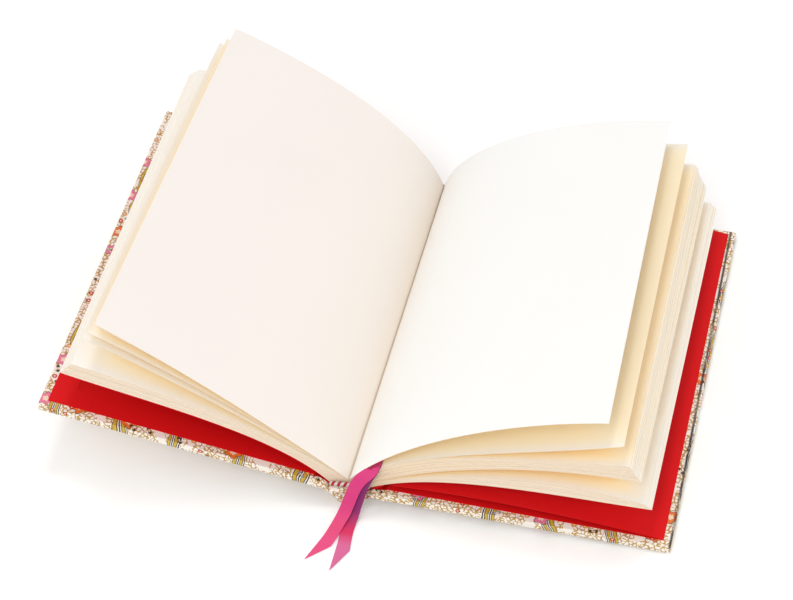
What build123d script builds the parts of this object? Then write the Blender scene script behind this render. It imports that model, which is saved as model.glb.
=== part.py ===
from build123d import *
import os
from math import asin, atan2, cos, degrees, hypot, radians, sin

# An open hardbound notebook, lying on its spine and its back cover.
# +X runs from the front cover to the back cover, +Y from tail to head, +Z up.
# The origin is the middle of the flat strip under the spine, half way up the pages.

# Pages
page_width = 148.0
page_height = 210.0
leaf_thickness = 0.4
back_half_width = 10.2
back_height = 10.6
back_arch = 0.9
gutter_offset = -0.4
tail_gutter_depth = 3.7
head_gutter_depth = 2.1
rear_bundle = 3.0
page_stations = 9

# Case
tail_square = 4.1
head_square = 3.0
fore_edge_square = 3.9
board_thickness = 3.4
board_setback = 10.5
cover_paper = 0.3
turn_in = 15.0
joint_width = 8.0
joint_lift = 1.7
groove_start = 2.3
board_corner_radius = 1.4
board_edge_bevel = 0.5

# Spine
back_clearance = 0.2
spine_corner_half_width = 3.4
spine_corner_radius = 3.0
spine_card = 1.0
shoulder_drop = 1.4
shoulder_radius = 0.8

# Endpapers, lining, bands and ribbons
endpaper = 0.3
lining = 0.4
band_bead = 2.4
band_tape = 0.4
band_tape_depth = 9.0
ribbon_width = 6.4
ribbon_thickness = 0.3
fit_gap = 0.3
paper_gap = 0.15
flyleaf_gap = 0.25
fold_reach = 0.05
flyleaf_start = 6.5
flyleaf_root = 3.3
flyleaf_arch = 5.6
band_seat = 0.35
band_end = 0.4
ribbon_share = 0.13
ribbon_rise = 14.2
rear_ribbon_reach = 38.2
front_ribbon_reach = 35.4
rear_ribbon_cut = 15.6
front_ribbon_cut = 14.3
rear_cut_angle = 63.8
front_cut_angle = 43.8

# How the book lies open
front_hinge_lift = 1.0
back_hinge_drop = 1.4
front_rise = 11.1

# Each page face has its lift over the gutter, how far it falls short of the page
# width, and its angles at the gutter and at the fore edge. Tail first, then head.
tail_faces = {
    "front under": (18.8, 0.3, 48.0, 15.9),
    "front top": (22.4, 4.0, 36.0, 13.5),
    "front inner leaf": (30.7, 2.9, 37.5, 25.5),
    "front leaf": (36.0, 3.2, 39.8, 29.5),
    "back leaf": (28.1, 5.4, 53.1, 10.2),
    "back second leaf": (21.7, 5.0, 44.3, 19.7),
    "back top": (16.1, 6.3, 17.6, 6.5),
    "back under": (11.7, 3.6, 31.3, -3.3),
    "rear top": (5.4, 3.4, 25.5, -12.7),
    "rear under": (4.1, 0.6, 30.0, 0.0),
}
head_faces = {
    "front under": (23.4, 0.0, 60.0, 12.0),
    "front top": (26.0, 3.6, 55.0, 10.0),
    "front inner leaf": (35.5, 4.5, 66.0, 22.0),
    "front leaf": (41.4, 5.4, 76.3, 23.9),
    "back leaf": (29.0, 10.5, 75.9, 5.6),
    "back second leaf": (22.0, 8.3, 62.0, 10.0),
    "back top": (16.2, 8.4, 16.0, 4.0),
    "back under": (9.2, 6.0, 31.3, 0.0),
    "rear top": (5.3, 5.3, 25.5, -3.0),
    "rear under": (3.4, 1.0, 30.0, 0.0),
}

tail = -page_height / 2
head = page_height / 2
case_tail = tail - tail_square
case_head = head + head_square
case_height = case_head - case_tail
spine_half_width = back_half_width + back_clearance
shoulder_height = back_height - shoulder_drop
front_hinge_height = back_height + front_hinge_lift
back_hinge_height = back_height - back_hinge_drop


# The pages

def run(side, angle, length):
    """A step from the gutter outward, to the front (-1) or to the back (+1)."""
    return Vector(side * cos(radians(angle)) * length, sin(radians(angle)) * length)


def face_curve(root, gutter, side, lift, shortfall, leave, arrive):
    """One page face in profile, from its root out to the fore edge."""
    tip = gutter + run(side, lift, page_width - shortfall)
    chord = (tip - root).length
    bend = root + run(side, leave, 0.28 * chord)
    ease = tip - run(side, arrive, 0.35 * chord)
    return Bezier(root, bend, ease, tip)


def below(curve, side, share, thickness):
    """The point under a page face, this thickness below it."""
    along = curve % share
    return curve @ share + Vector(side * along.Y, -side * along.X) * thickness


def leaf_underside(curve, side, share):
    """The lower face of a single leaf, from the notch at its root to its fore edge."""
    start = below(curve, side, share, leaf_thickness)
    end = below(curve, side, 1, leaf_thickness)
    chord = (end - start).length
    bend = start + (curve % share) * (0.28 * chord)
    ease = end - (curve % 1) * (0.35 * chord)
    return Bezier(start, bend, ease, end)


def page_profile(plane, faces, gutter_depth):
    """The pages seen from one end, as they fan open."""
    front_corner = Vector(-back_half_width, back_height)
    rear_corner = Vector(back_half_width, back_height)
    gutter = Vector(gutter_offset, back_height + gutter_depth)
    with BuildSketch(plane) as profile:
        with BuildLine():
            front_leaf = face_curve(gutter, gutter, -1, *faces["front leaf"])
            front_leaf_under = leaf_underside(front_leaf, -1, 0.03)
            Line(front_leaf @ 1, front_leaf_under @ 1)
            inner_leaf = face_curve(front_leaf_under @ 0, gutter, -1, *faces["front inner leaf"])
            inner_leaf_under = leaf_underside(inner_leaf, -1, 0.03)
            Line(inner_leaf @ 1, inner_leaf_under @ 1)
            front_top = face_curve(inner_leaf_under @ 0, gutter, -1, *faces["front top"])
            front_under = face_curve(front_corner, gutter, -1, *faces["front under"])
            Line(front_top @ 1, front_under @ 1)
            back_leaf = face_curve(gutter, gutter, 1, *faces["back leaf"])
            back_leaf_under = leaf_underside(back_leaf, 1, 0.02)
            Line(back_leaf @ 1, back_leaf_under @ 1)
            second_leaf = face_curve(back_leaf_under @ 0, gutter, 1, *faces["back second leaf"])
            second_leaf_under = leaf_underside(second_leaf, 1, 0.34)
            Line(second_leaf @ 1, second_leaf_under @ 1)
            back_top = face_curve(second_leaf_under @ 0, gutter, 1, *faces["back top"])
            rear_under = face_curve(rear_corner, gutter, 1, *faces["rear under"])
            notch = below(rear_under, 1, 0.04, -rear_bundle)
            back_under = face_curve(notch, gutter, 1, *faces["back under"])
            Line(back_top @ 1, back_under @ 1)
            rear_top = face_curve(notch, gutter, 1, *faces["rear top"])
            Line(rear_top @ 1, rear_under @ 1)
            ThreePointArc(front_corner, (0, back_height + back_arch), rear_corner)
        make_face()
    return profile.sketch, second_leaf, front_under, rear_under


def between(low, high, share):
    return low + (high - low) * share


page_planes = []
page_profiles = []
for station in range(page_stations):
    share = station / (page_stations - 1)
    faces_here = {
        name: [between(low, high, share) for low, high in zip(tail_faces[name], head_faces[name])]
        for name in tail_faces
    }
    depth_here = between(tail_gutter_depth, head_gutter_depth, share)
    page_planes.append(Plane.XZ.offset(-between(tail, head, share)))
    page_profiles.append(page_profile(page_planes[-1], faces_here, depth_here))
page_sketches, page_beds, front_faces, rear_faces = zip(*page_profiles)

with BuildPart() as page_block:
    loft(page_sketches, ruled=True)
page_block.part.label = "page_block"


# The two covers, each drawn in its own frame: across from the hinge, and up from it

hinge_offset = spine_half_width + joint_width / 2
hinge_drop = joint_lift + cover_paper
fold_gap = 2 * cover_paper
board_start = joint_width / 2
board_end = board_start + page_width - board_setback
cover_end = board_end + cover_paper
board_low = cover_paper - hinge_drop
board_high = board_low + board_thickness
cover_high = board_high + cover_paper
rest_point = cover_end - board_edge_bevel
back_fall = degrees(asin(back_hinge_height / hypot(rest_point, hinge_drop)) - atan2(hinge_drop, rest_point))


def cover_plane(side, rise, hinge_height):
    """The plane through a cover's hinge, along the cover and across it."""
    across = (side * cos(radians(rise)), 0, sin(radians(rise)))
    return Plane(
        origin=(side * hinge_offset, 0, hinge_height),
        x_dir=across,
        z_dir=(-side * sin(radians(rise)), 0, cos(radians(rise))),
    )


def section_of(plane):
    """The plane that cuts a cover across its hinge, at mid height."""
    return Plane(origin=plane.origin, x_dir=plane.x_dir, z_dir=plane.x_dir.cross(plane.z_dir))


def make_board(plane, side):
    """Stiff board under the covering paper, with its two fore-edge corners eased."""
    with BuildPart() as board:
        with BuildSketch(plane.offset(board_low)):
            with Locations(((board_start + board_end) / 2, side * (case_tail + case_head) / 2)):
                Rectangle(board_end - board_start, case_height - 2 * cover_paper)
            fillet(vertices().group_by(Axis.X)[-1], board_corner_radius)
        extrude(amount=board_thickness)
    return board.part


def make_cover_paper(plane, side, board):
    """Printed paper: over the outside, turned in round three edges, and down into the groove."""
    middle = side * (case_tail + case_head) / 2
    window_end = cover_end - turn_in
    with BuildPart() as paper:
        with BuildSketch(plane.offset(-hinge_drop)):
            with Locations(((board_start + cover_end) / 2, middle)):
                Rectangle(cover_end - board_start, case_height)
            fillet(vertices().group_by(Axis.X)[-1], board_corner_radius)
        extrude(amount=cover_high + hinge_drop)
        outer_face = faces().sort_by(Axis(plane.origin, plane.z_dir))[0]
        inner_face = faces().sort_by(Axis(plane.origin, plane.z_dir))[-1]
        joint_face = faces().sort_by(Axis(plane.origin, plane.x_dir))[0]
        rims = outer_face.edges() + inner_face.edges()
        chamfer(rims - joint_face.edges(), board_edge_bevel)
        add(board, mode=Mode.SUBTRACT)
        with BuildSketch(plane.offset(board_high)):
            with Locations(((board_start + window_end) / 2, middle)):
                Rectangle(window_end - board_start, case_height - 2 * turn_in)
        extrude(amount=2 * cover_paper, mode=Mode.SUBTRACT)
        with BuildSketch(section_of(plane).offset(-side * case_head)):
            with BuildLine():
                Polyline(
                    (fold_gap, 0),
                    (groove_start, 0),
                    (board_start, board_low),
                    (board_start, -hinge_drop),
                    (board_start - cover_paper, -hinge_drop),
                    (groove_start - cover_paper, -cover_paper),
                    (fold_gap, -cover_paper),
                    close=True,
                )
            make_face()
        extrude(amount=side * case_height)
    return paper.part


def make_pastedown(plane, side):
    """Endpaper pasted down; the turned-in paper shows through it as a low step."""
    sheet_end = cover_end - fore_edge_square
    window_end = cover_end - turn_in
    window_tail = case_tail + turn_in
    window_head = case_head - turn_in
    window_height = window_head - window_tail
    window_middle = side * (window_tail + window_head) / 2
    with BuildPart() as sheet:
        with BuildSketch(plane.offset(cover_high)):
            with Locations(((board_start + sheet_end) / 2, 0)):
                Rectangle(sheet_end - board_start, page_height)
        extrude(amount=endpaper)
        with BuildSketch(plane.offset(board_high)):
            with Locations(((board_start + window_end) / 2, window_middle)):
                Rectangle(window_end - board_start, window_height)
        extrude(amount=cover_paper)
        with BuildSketch(plane.offset(board_high + endpaper)):
            with Locations(((board_start + window_end - endpaper) / 2, window_middle)):
                Rectangle(window_end - endpaper - board_start, window_height - 2 * endpaper)
        extrude(amount=cover_paper, mode=Mode.SUBTRACT)
        with BuildSketch(section_of(plane).offset(-side * head)):
            with BuildLine():
                Polyline(
                    (fit_gap, 0),
                    (groove_start - cover_paper, 0),
                    (board_start, board_high),
                    (board_start, cover_high + endpaper),
                    (board_start - endpaper, cover_high + endpaper),
                    (groove_start - cover_paper - endpaper / 2, endpaper),
                    (fit_gap, endpaper),
                    close=True,
                )
            make_face()
        extrude(amount=side * page_height)
    return sheet.part


front_plane = cover_plane(-1, front_rise, front_hinge_height)
back_plane = cover_plane(1, -back_fall, back_hinge_height)

front_board = make_board(front_plane, -1)
front_board.label = "front_board"
front_cover_paper = make_cover_paper(front_plane, -1, front_board)
front_cover_paper.label = "front_cover_paper"
front_pastedown = make_pastedown(front_plane, -1)
front_pastedown.label = "front_pastedown"

back_board = make_board(back_plane, 1)
back_board.label = "back_board"
back_cover_paper = make_cover_paper(back_plane, 1, back_board)
back_cover_paper.label = "back_cover_paper"
back_pastedown = make_pastedown(back_plane, 1)
back_pastedown.label = "back_pastedown"


# The spine of the case: printed paper outside, a flexible card inside

front_hinge = Vector(-hinge_offset, front_hinge_height)
back_hinge = Vector(hinge_offset, back_hinge_height)
front_shoulder = Vector(-spine_half_width, shoulder_height)
back_shoulder = Vector(spine_half_width, shoulder_height)
front_foot = Vector(-spine_corner_half_width, cover_paper)
back_foot = Vector(spine_corner_half_width, cover_paper)
card_top = 0.14


def spine_band(plane, inner, outer):
    """A layer of the spine in section, between two distances from the paper's inner face."""
    with BuildSketch(plane) as band:
        with BuildLine():
            FilletPolyline(card_front, front_foot, back_foot, card_back, radius=spine_corner_radius)
            offset(amount=outer, side=Side.LEFT)
        make_face()
        if inner > 0:
            with BuildLine():
                FilletPolyline(card_front, front_foot, back_foot, card_back, radius=spine_corner_radius)
                offset(amount=inner, side=Side.LEFT)
            make_face(mode=Mode.SUBTRACT)
    return band.sketch


card_front = front_shoulder + (front_foot - front_shoulder) * card_top
card_back = back_shoulder + (back_foot - back_shoulder) * card_top

with BuildPart() as spine_board:
    extrude(spine_band(Plane.XZ.offset(-case_head + cover_paper), 0, spine_card), case_height - 2 * cover_paper)
spine_board.part.label = "spine_board"

with BuildPart() as spine_paper:
    with BuildSketch(Plane.XZ.offset(-case_head)):
        with BuildLine():
            FilletPolyline(
                front_hinge + (front_shoulder - front_hinge).normalized() * fold_gap,
                front_shoulder,
                front_foot,
                back_foot,
                back_shoulder,
                back_hinge + (back_shoulder - back_hinge).normalized() * fold_gap,
                radius=(shoulder_radius, spine_corner_radius, spine_corner_radius, shoulder_radius),
            )
            offset(amount=cover_paper, side=Side.RIGHT)
        make_face()
    extrude(amount=case_height)
    for start in (-case_head, -case_tail - cover_paper):
        extrude(spine_band(Plane.XZ.offset(start), 0, spine_card + cover_paper), cover_paper)
    for start in (-case_head, -case_tail - turn_in):
        extrude(spine_band(Plane.XZ.offset(start), spine_card, spine_card + cover_paper), turn_in)
spine_paper.part.label = "spine_paper"


# Endpapers: folded at the joint, with one leaf free

def fold_points(shoulder, hinge, side):
    """The leg of the folded sheet that lies on the joint: its end, fold and inner crease."""
    outward = (hinge - shoulder).normalized()
    lift = Vector(-side * outward.Y, side * outward.X)
    leg_end = hinge - outward * fit_gap
    fold = shoulder + outward * 0.5 + lift * 0.02
    crease = shoulder + outward * 1.4 + lift * endpaper
    return leg_end, fold, crease, leg_end + lift * endpaper


def flyleaf_curve(curve, side, share, depth):
    """A sheet's face, following the page above it at this depth."""
    start = below(curve, side, share, depth)
    end = below(curve, side, 0.995, depth)
    chord = (end - start).length
    bend = start + (curve % share) * (0.28 * chord)
    ease = end - (curve % 1) * (0.35 * chord)
    return Bezier(start, bend, ease, end)


def front_flyleaf_profile(plane, curve):
    """Front flyleaf: a leg on the joint, then up and along under the front pages."""
    leg_end, fold, crease, leg_top = fold_points(front_shoulder, front_hinge, -1)
    neck = Vector(-back_half_width - 0.15, back_height - 0.1)
    with BuildSketch(plane) as profile:
        with BuildLine():
            upper = flyleaf_curve(curve, -1, 0.02, flyleaf_gap)
            lower = flyleaf_curve(curve, -1, 0.03, flyleaf_gap + endpaper)
            Line(upper @ 1, lower @ 1)
            Polyline(lower @ 0, crease, leg_top, leg_end, fold, neck, upper @ 0)
        make_face()
    return profile.sketch


with BuildPart() as front_flyleaf:
    loft([front_flyleaf_profile(*place) for place in zip(page_planes, front_faces)], ruled=True)
front_flyleaf.part.label = "front_flyleaf"


def back_fold_profile(plane, curve):
    """Back endpaper's fold: a leg on the joint and a leg pasted under the last page."""
    leg_end, fold, crease, leg_top = fold_points(back_shoulder, back_hinge, 1)
    neck = Vector(back_half_width + 0.15, back_height - 0.1)
    with BuildSketch(plane) as profile:
        with BuildLine():
            near = below(curve, 1, fold_reach, flyleaf_gap)
            far = below(curve, 1, fold_reach, flyleaf_gap + endpaper)
            Polyline(leg_top, leg_end, fold, neck, near, far, crease, close=True)
        make_face()
    return profile.sketch


with BuildPart() as back_endpaper_fold:
    loft([back_fold_profile(*place) for place in zip(page_planes, rear_faces)], ruled=True)
back_endpaper_fold.part.label = "back_endpaper_fold"

# Back flyleaf: it has come away from the pages and arches over the back cover
rest_height = cover_high + endpaper
leaf_end = cover_end - fore_edge_square - flyleaf_gap
with BuildPart() as back_flyleaf:
    for edge in (-head, -tail):
        with BuildSketch(section_of(back_plane).offset(edge)):
            with BuildLine():
                points = (
                    Vector(flyleaf_start, rest_height + flyleaf_root),
                    Vector(flyleaf_start + 0.28 * leaf_end, rest_height + 1.3 * flyleaf_arch),
                    Vector(0.68 * leaf_end, rest_height + 0.95 * flyleaf_arch),
                    Vector(leaf_end, rest_height + 0.02),
                )
                lower = Bezier(*points)
                upper = Bezier(*[point + Vector(0, endpaper) for point in points])
                Line(lower @ 0, upper @ 0)
                Line(lower @ 1, upper @ 1)
            make_face()
    loft(ruled=True)
back_flyleaf.part.label = "back_flyleaf"


# Back lining and the woven head and tail bands

with BuildPart() as spine_lining:
    with BuildSketch(Plane.XZ.offset(-head + band_tape_depth + paper_gap)):
        with BuildLine():
            glued = ThreePointArc(
                (-back_half_width, back_height - paper_gap),
                (0, back_height + back_arch - paper_gap),
                (back_half_width, back_height - paper_gap),
            )
            offset(amount=lining, side=Side.RIGHT)
        make_face()
    extrude(amount=page_height - 2 * (band_tape_depth + paper_gap))
spine_lining.part.label = "spine_lining"


def make_band(edge, outward):
    """A woven band: a bead across the end of the pages, on a tape glued to their back."""
    bead_y = edge + outward * (band_bead / 2 + paper_gap / 3)
    half_width = back_half_width - band_end
    bead_turn = (half_width**2 + back_arch**2) / (2 * back_arch)
    arc_centre = (0, bead_y, back_height + back_arch + band_seat - bead_turn)
    half_angle = degrees(asin(half_width / bead_turn))
    with BuildPart() as band:
        with BuildSketch(Plane(origin=arc_centre, x_dir=(0, 1, 0), z_dir=(1, 0, 0)).rotated((0, -half_angle, 0))):
            with Locations((0, bead_turn)):
                RegularPolygon(band_bead / 2, 12)
        revolve(axis=Axis(arc_centre, (0, 1, 0)), revolution_arc=2 * half_angle)
        with BuildSketch(Plane.XZ.offset(-edge - outward * band_bead / 2)):
            with BuildLine():
                ThreePointArc(
                    (-half_width, back_height - paper_gap),
                    (0, back_height + back_arch - paper_gap),
                    (half_width, back_height - paper_gap),
                )
                offset(amount=band_tape, side=Side.RIGHT)
            make_face()
        extrude(amount=outward * (band_tape_depth + band_bead / 2))
    return band.part


tail_band = make_band(tail, -1)
tail_band.label = "tail_band"
head_band = make_band(head, 1)
head_band.label = "head_band"


# Ribbon markers: glued under the back at the head, between two leaves, and out at the tail

def bed_station(curve, y, height):
    """A ribbon's cross-section where it lies on the page, this height over the paper."""
    along = curve % ribbon_share
    point = curve @ ribbon_share + Vector(-along.Y, along.X) * height
    return (point.X, y, point.Y), (along.X, 0, along.Y), (0, -1, 0)


def make_ribbon(stations):
    """A flat strip through its cross-sections, each with a centre, a width and a heading."""
    with BuildPart() as strip:
        for centre, across, heading, width in stations:
            with BuildSketch(Plane(origin=centre, x_dir=across, z_dir=heading)):
                Rectangle(width, ribbon_thickness)
        loft(ruled=True)
    return strip.part


# Ribbon cross-sections from the pages down to the table: shares of the way across,
# out and up, then the directions across the ribbon and along it
rear_fall = [
    (0.762, 0.050, 0.879, (0.9, 0.0, 0.42), (-0.5, -0.4, -0.8)),
    (0.627, 0.082, 0.748, (0.95, 0.0, 0.3), (-0.4, -0.35, -0.9)),
    (0.516, 0.121, 0.601, (0.95, 0.0, 0.3), (-0.35, -0.4, -0.9)),
    (0.418, 0.168, 0.433, (0.95, 0.05, 0.3), (-0.3, -0.4, -0.9)),
    (0.326, 0.232, 0.250, (0.97, 0.0, 0.25), (-0.25, -0.5, -0.85)),
    (0.258, 0.305, 0.096, (0.98, 0.0, 0.1), (-0.2, -0.7, -0.7)),
    (0.209, 0.408, 0.016, (1.0, -0.1, 0.0), (-0.15, -1.0, -0.2)),
    (0.160, 0.553, 0.000, (1.0, -0.05, 0.0), (-0.05, -1.0, 0.0)),
    (0.154, 0.737, 0.000, (1.0, 0.05, 0.0), (0.05, -1.0, 0.0)),
]
front_fall = [
    (0.717, 0.071, 0.923, (0.91, 0.0, 0.41), (-0.5, -0.45, -0.7)),
    (0.510, 0.107, 0.813, (0.96, 0.0, 0.27), (-0.45, -0.4, -0.8)),
    (0.350, 0.147, 0.682, (0.95, 0.0, 0.3), (-0.4, -0.35, -0.85)),
    (0.215, 0.198, 0.513, (0.93, 0.0, 0.36), (-0.35, -0.4, -0.85)),
    (0.095, 0.263, 0.323, (0.92, 0.05, 0.38), (-0.35, -0.45, -0.85)),
    (-0.030, 0.345, 0.147, (0.95, 0.1, 0.28), (-0.35, -0.6, -0.7)),
    (-0.150, 0.452, 0.049, (1.0, -0.1, 0.1), (-0.25, -0.9, -0.3)),
    (-0.245, 0.605, 0.023, (1.0, -0.2, 0.0), (-0.2, -1.0, 0.0)),
    (-0.330, 0.770, 0.019, (1.0, -0.25, 0.0), (-0.25, -1.0, 0.0)),
]


def ribbon_stations(height, fall, reach, end_share, cut_width, cut_angle):
    """Cross-sections from the glued end at the head to the cut end on the table."""
    under = back_height + 0.35 - height
    turn = head + head_square + 1.6 * height
    glued_run = [
        ((0.5, head - 16, under), (1, 0, 0), (0, 1, 0)),
        ((0.5, head - 3, under - 0.3), (1, 0, 0), (0, 1, -0.1)),
        ((1.0, head + 1.5, under - 1.2), (1, 0, 0), (0.1, 1, 0.1)),
        ((2.5, turn + 0.4, back_height + 1.5), (1, 0, 0), (0.3, 0.2, 1)),
        ((5.5, turn + 0.4, back_height + 0.53 * ribbon_rise), (0.9, 0, 0.2), (0.4, -0.1, 1)),
        ((8.6, turn - 0.3, back_height + ribbon_rise + height), (0.8, 0.1, 0.45), (0.2, -0.6, 0.8)),
    ]
    bed_run = [bed_station(page_beds[-1], head + 1.2, height + 0.5)]
    for plane, bed in reversed(list(zip(page_planes, page_beds))):
        bed_run.append(bed_station(bed, plane.origin.Y, height))
    bed_run.append(bed_station(page_beds[0], tail - 0.5, height + 0.1))
    edge = page_beds[0] @ ribbon_share
    free_run = []
    for across, out, up, wide, along in fall:
        centre = (across * edge.X, tail - out * reach, between(floor_height, edge.Y, up))
        free_run.append((centre, wide, along))
    path = glued_run + bed_run + free_run
    stations = [(centre, across, heading, ribbon_width) for centre, across, heading in path]
    end = (end_share * edge.X, tail - reach, floor_height)
    slant = (cos(radians(cut_angle)), sin(radians(cut_angle)), 0)
    return stations + [(end, slant, (slant[1], -slant[0], 0), cut_width)]


rear_height = paper_gap + ribbon_thickness / 2
front_height = rear_height + ribbon_thickness + 0.1
floor_height = ribbon_thickness / 2 + 0.02

rear_stations = ribbon_stations(
    rear_height, rear_fall, rear_ribbon_reach, 0.224, rear_ribbon_cut, rear_cut_angle
)
rear_ribbon = make_ribbon(rear_stations)
rear_ribbon.label = "rear_ribbon"
front_stations = ribbon_stations(
    front_height, front_fall, front_ribbon_reach, -0.501, front_ribbon_cut, front_cut_angle
)
front_ribbon = make_ribbon(front_stations)
front_ribbon.label = "front_ribbon"

os.makedirs("parts", exist_ok=True)
export_step(page_block.part, "parts/page_block.step")
export_step(front_board, "parts/front_board.step")
export_step(front_cover_paper, "parts/front_cover_paper.step")
export_step(front_pastedown, "parts/front_pastedown.step")
export_step(back_board, "parts/back_board.step")
export_step(back_cover_paper, "parts/back_cover_paper.step")
export_step(back_pastedown, "parts/back_pastedown.step")
export_step(spine_board.part, "parts/spine_board.step")
export_step(spine_paper.part, "parts/spine_paper.step")
export_step(front_flyleaf.part, "parts/front_flyleaf.step")
export_step(back_endpaper_fold.part, "parts/back_endpaper_fold.step")
export_step(back_flyleaf.part, "parts/back_flyleaf.step")
export_step(spine_lining.part, "parts/spine_lining.step")
export_step(tail_band, "parts/tail_band.step")
export_step(head_band, "parts/head_band.step")
export_step(front_ribbon, "parts/front_ribbon.step")
export_step(rear_ribbon, "parts/rear_ribbon.step")
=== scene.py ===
import bmesh
import bpy
import random
from math import asin, cos, exp, pi, radians, sin
from mathutils import Matrix, Vector


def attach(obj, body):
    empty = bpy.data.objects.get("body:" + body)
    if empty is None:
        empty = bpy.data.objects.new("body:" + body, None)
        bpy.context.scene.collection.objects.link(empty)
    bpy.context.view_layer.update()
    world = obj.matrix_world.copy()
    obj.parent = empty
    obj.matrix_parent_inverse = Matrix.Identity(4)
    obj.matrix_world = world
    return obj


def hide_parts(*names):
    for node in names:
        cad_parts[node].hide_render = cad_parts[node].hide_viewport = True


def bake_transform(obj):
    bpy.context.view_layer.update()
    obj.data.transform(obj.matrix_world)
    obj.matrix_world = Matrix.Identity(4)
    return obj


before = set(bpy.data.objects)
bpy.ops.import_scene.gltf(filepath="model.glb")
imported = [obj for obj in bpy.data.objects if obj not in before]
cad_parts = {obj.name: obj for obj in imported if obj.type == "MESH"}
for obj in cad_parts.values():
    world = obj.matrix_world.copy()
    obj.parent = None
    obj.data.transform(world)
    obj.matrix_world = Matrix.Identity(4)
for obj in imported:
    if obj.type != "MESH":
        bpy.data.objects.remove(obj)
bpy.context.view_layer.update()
scene = bpy.context.scene

# Camera: the photograph looks down from the tail end, a little from the back cover's side.
# Its place and its three directions were solved from the corners of the covers and pages.
camera_place = (0.257879, -0.898112, 0.985236)
camera_right = Vector((0.972112, 0.229663, -0.047476))
camera_down = Vector((0.132043, -0.703307, -0.698515))
camera_forward = Vector((-0.193814, 0.672766, -0.714018))
camera_data = bpy.data.cameras.new("photo_camera")
camera_data.sensor_width = 36.0
camera_data.lens = 120.68
camera_data.clip_end = 20.0
camera = bpy.data.objects.new("photo_camera", camera_data)
scene.collection.objects.link(camera)
turn = Matrix((camera_right, -camera_down, -camera_forward)).transposed()
camera.matrix_world = Matrix.Translation(camera_place) @ turn.to_4x4()
scene.camera = camera

# Floor: a plain white table top just under the book, there only to carry its soft shadow.
# What the camera sees of it is raised a little towards white, with no more light on the book.
table_half = 4.0
table_level = -0.0003
table_corners = [
    (x * table_half, y * table_half, table_level) for x, y in ((-1, -1), (1, -1), (1, 1), (-1, 1))
]
floor_mesh = bpy.data.meshes.new("floor")
floor_mesh.from_pydata(table_corners, [], [(0, 1, 2, 3)])
floor = bpy.data.objects.new("floor", floor_mesh)
scene.collection.objects.link(floor)
floor_paint = bpy.data.materials.new("floor_white")
floor_paint.use_nodes = True
floor_shader = floor_paint.node_tree.nodes["Principled BSDF"]
floor_shader.inputs["Base Color"].default_value = (0.97, 0.97, 0.97, 1)
floor_shader.inputs["Roughness"].default_value = 0.9
floor_shader.inputs["Specular IOR Level"].default_value = 0.1
floor_shader.inputs["Emission Color"].default_value = (1, 1, 1, 1)
seen = floor_paint.node_tree.nodes.new("ShaderNodeLightPath")
raised = floor_paint.node_tree.nodes.new("ShaderNodeMath")
raised.operation = "MULTIPLY"
raised.inputs[1].default_value = 0.12
floor_paint.node_tree.links.new(seen.outputs["Is Camera Ray"], raised.inputs[0])
floor_paint.node_tree.links.new(raised.outputs[0], floor_shader.inputs["Emission Strength"])
floor_mesh.materials.append(floor_paint)

# Light: an even white room, a soft lamp on the camera's side that reaches in between the
# leaves, one at each side for the fore edges, and one overhead for the shadow on the table.
lamp_target = Vector((0, 0, 0.03))
world = bpy.data.worlds.new("white_room")
world.use_nodes = True
world.node_tree.nodes["Background"].inputs["Color"].default_value = (1.0, 1.0, 1.0, 1)
world.node_tree.nodes["Background"].inputs["Strength"].default_value = 0.66
scene.world = world
for name, place, size, power in (
    ("key_lamp", (-0.15, -1.5, 1.6), 0.9, 9.5),
    ("left_lamp", (-2.2, -0.5, 0.9), 1.2, 6.5),
    ("right_lamp", (2.2, -0.7, 1.0), 1.2, 8.0),
    ("high_lamp", (-0.1, 0.45, 2.3), 0.5, 9.0),
):
    lamp_data = bpy.data.lights.new(name, "AREA")
    lamp_data.size = size
    lamp_data.energy = power
    lamp = bpy.data.objects.new(name, lamp_data)
    lamp.location = place
    lamp.rotation_euler = (lamp_target - Vector(place)).to_track_quat("-Z", "Y").to_euler()
    scene.collection.objects.link(lamp)
scene.view_settings.view_transform = "Standard"


# Page paper: uncoated cream sheet. The attribute "glow" is how deep a point lies between
# two leaves, where the paper is painted yellow and then ochre as painted light that bounces
# from sheet to sheet. The weak emission there is painted glow for light coming through the paper.
def new_material(name, roughness, specular):
    material = bpy.data.materials.new(name)
    material.use_nodes = True
    tree = material.node_tree
    shader = tree.nodes["Principled BSDF"]
    shader.inputs["Roughness"].default_value = roughness
    shader.inputs["Specular IOR Level"].default_value = specular
    return material, tree, shader


def node(tree, kind, settings=(), **links):
    """Adds a node, sets its options, then fills its inputs by name or number from values or sockets."""
    added = tree.nodes.new(kind)
    for key, value in dict(settings).items():
        setattr(added, key, value)
    for key, value in links.items():
        numbered = key[0] == "i" and key[1:].isdigit()
        socket = added.inputs[int(key[1:]) if numbered else key.replace("_", " ")]
        if isinstance(value, bpy.types.NodeSocket):
            tree.links.new(value, socket)
        else:
            socket.default_value = value
    return added


def calc(tree, operation, first, second=0.0, third=0.0):
    return node(tree, "ShaderNodeMath", {"operation": operation}, i0=first, i1=second, i2=third).outputs[0]


def ramp(tree, value, low, high, start=0.0, end=1.0):
    """Goes from start to end while a value goes from low to high."""
    span = {"From_Min": low, "From_Max": high, "To_Min": start, "To_Max": end}
    return node(tree, "ShaderNodeMapRange", (), Value=value, **span).outputs[0]


def blend_colour(tree, share, low, high, way="MIX"):
    settings = {"data_type": "RGBA", "blend_type": way}
    return node(tree, "ShaderNodeMix", settings, i0=share, i6=low, i7=high).outputs[2]


def point_value(tree, title):
    return node(tree, "ShaderNodeAttribute", {"attribute_name": title}).outputs["Fac"]


def noise(tree, place, scale, detail=2.0, dimensions="3D"):
    settings = {"noise_dimensions": dimensions}
    return node(tree, "ShaderNodeTexNoise", settings, Vector=place, Scale=scale, Detail=detail).outputs


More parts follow.
